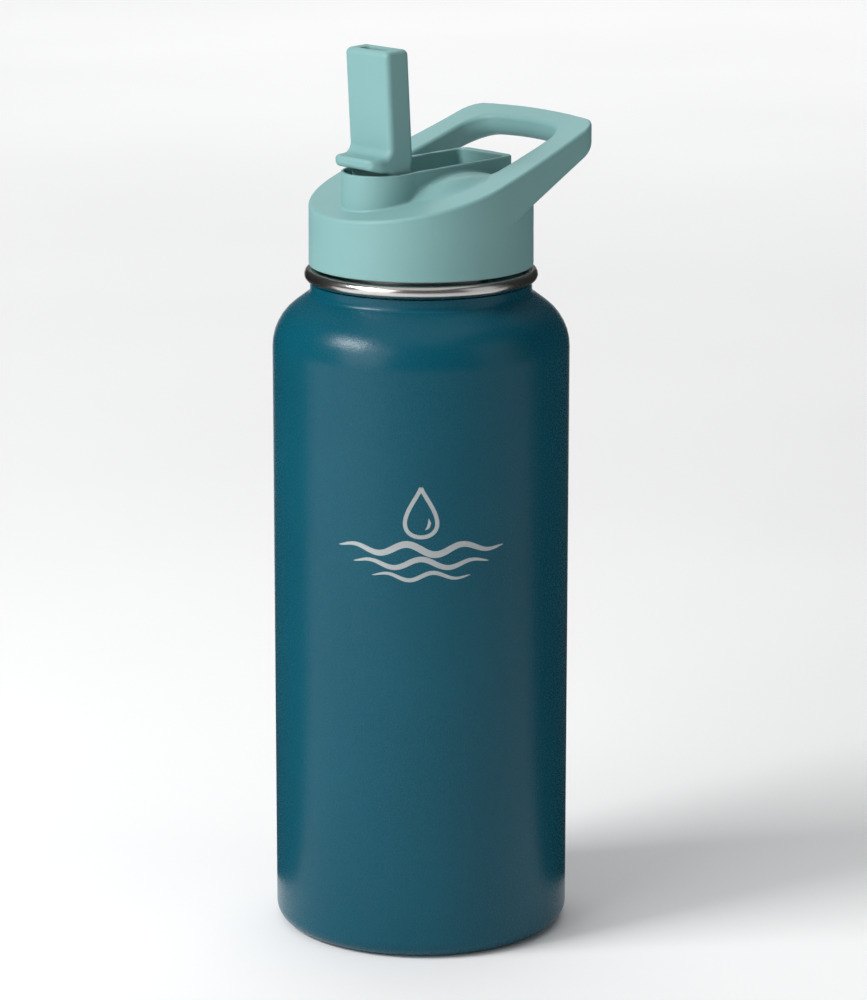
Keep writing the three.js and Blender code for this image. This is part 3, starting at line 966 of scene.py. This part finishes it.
def aim(thing, point):
    thing.rotation_mode = "QUATERNION"
    thing.rotation_quaternion = (point - thing.location).to_track_quat("-Z", "Y")


def add_camera():
    data = bpy.data.cameras.new("camera")
    data.lens = 143.46
    data.sensor_width = 36.0
    data.shift_x = 0.0124
    data.clip_end = 50.0
    camera = bpy.data.objects.new("camera", data)
    camera.location = towards(0) * CAMERA_DISTANCE + Vector((0, 0, CAMERA_HEIGHT))
    bpy.context.scene.collection.objects.link(camera)
    aim(camera, TARGET)
    bpy.context.scene.camera = camera


def add_softbox(name, angle, distance, height, size, power, target=TARGET):
    data = bpy.data.lights.new(name, "AREA")
    data.shape = "RECTANGLE"
    data.size, data.size_y = size
    data.energy = power
    light = bpy.data.objects.new(name, data)
    light.visible_camera = False
    light.location = towards(angle) * distance + Vector((0, 0, height))
    bpy.context.scene.collection.objects.link(light)
    aim(light, target)


def floor_material():
    m = Nodes("studio_floor")
    m.set(Specular_IOR_Level=0.1)
    cloud = m.noise(3.0, detail=2.0)
    color = m.ramp(cloud, [(0.3, (0.92, 0.92, 0.92)), (0.7, (0.94, 0.94, 0.94))])
    return m.finish(color, m.span(cloud, 0.7, 0.8))


def card_material():
    m = Nodes("flag_cloth")
    weave = m.noise(800, detail=1.0)
    color = m.ramp(weave, [(0.3, (0.012, 0.012, 0.012)), (0.7, (0.02, 0.02, 0.02))])
    return m.finish(color, m.span(weave, 0.9, 1.0))


def add_stage(name, corners, faces, material):
    """A sheet of the studio, which isn't part of the bottle."""
    mesh = bpy.data.meshes.new(name)
    mesh.from_pydata(corners, [], faces)
    mesh.materials.append(material)
    sheet = bpy.data.objects.new(name, mesh)
    bpy.context.scene.collection.objects.link(sheet)
    return sheet


def add_floor():
    corners = [(x * FLOOR_HALF, y * FLOOR_HALF, 0) for x, y in ((-1, -1), (1, -1), (1, 1), (-1, 1))]
    add_stage("studio_floor", corners, [(0, 1, 2, 3)], floor_material())


def add_flag(name, angle, distance, width, height, material):
    """A dark card that only reflections see: it runs out along the floor, then stands up."""
    across = towards(angle + 90) * (width / 2)
    near, middle = towards(angle) * CARD_NEAR, towards(angle) * distance
    low, high = Vector((0, 0, CARD_LIFT)), Vector((0, 0, height))
    near_across = across * CARD_NEAR_WIDTH
    corners = [near - near_across + low, near + near_across + low, middle + across + low,
               middle - across + low, middle + across + high, middle - across + high]
    flag = add_stage(name, corners, [(0, 1, 2, 3), (3, 2, 4, 5)], material)
    flag.visible_camera = flag.visible_diffuse = flag.visible_shadow = False


def set_world(strength):
    world = bpy.data.worlds.new("studio")
    world.use_nodes = True
    background = world.node_tree.nodes["Background"]
    background.inputs["Color"].default_value = (0.95, 0.97, 1.0, 1.0)
    background.inputs["Strength"].default_value = strength
    bpy.context.scene.world = world


def light_studio():
    """Soft light from the left and above, dark cards at the sides and a wash on the far floor."""
    set_world(0.15)
    add_softbox("key_softbox", 46, 1.45, 0.7, size=(0.95, 1.25), power=9.5)
    add_softbox("shoulder_softbox", 66, 1.2, 1.1, size=(0.6, 0.36), power=17)
    add_softbox("side_softbox", -62, 1.5, 0.6, size=(0.9, 1.5), power=2.2)
    add_softbox("top_softbox", 20, 0.3, 1.8, size=(1.8, 1.8), power=6.5)
    add_softbox("back_wash", 180, 2.7, 2.2, size=(4.0, 3.0), power=74, target=towards(180) * 3.2)
    cloth = card_material()
    add_flag("left_flag", 128, 0.75, 1.0, 1.2, cloth)
    add_flag("right_flag", -128, 0.75, 1.1, 1.2, cloth)


# ---- scene ------------------------------------------------------------------------------------
bpy.context.scene.view_settings.view_transform = "Standard"
add_camera()
add_floor()
light_studio()
add_outer_shell()
add_collar()
add_flask()
add_base()
add_mark()
add_lid()
add_spout()
add_inside()
dress_kept_nodes()
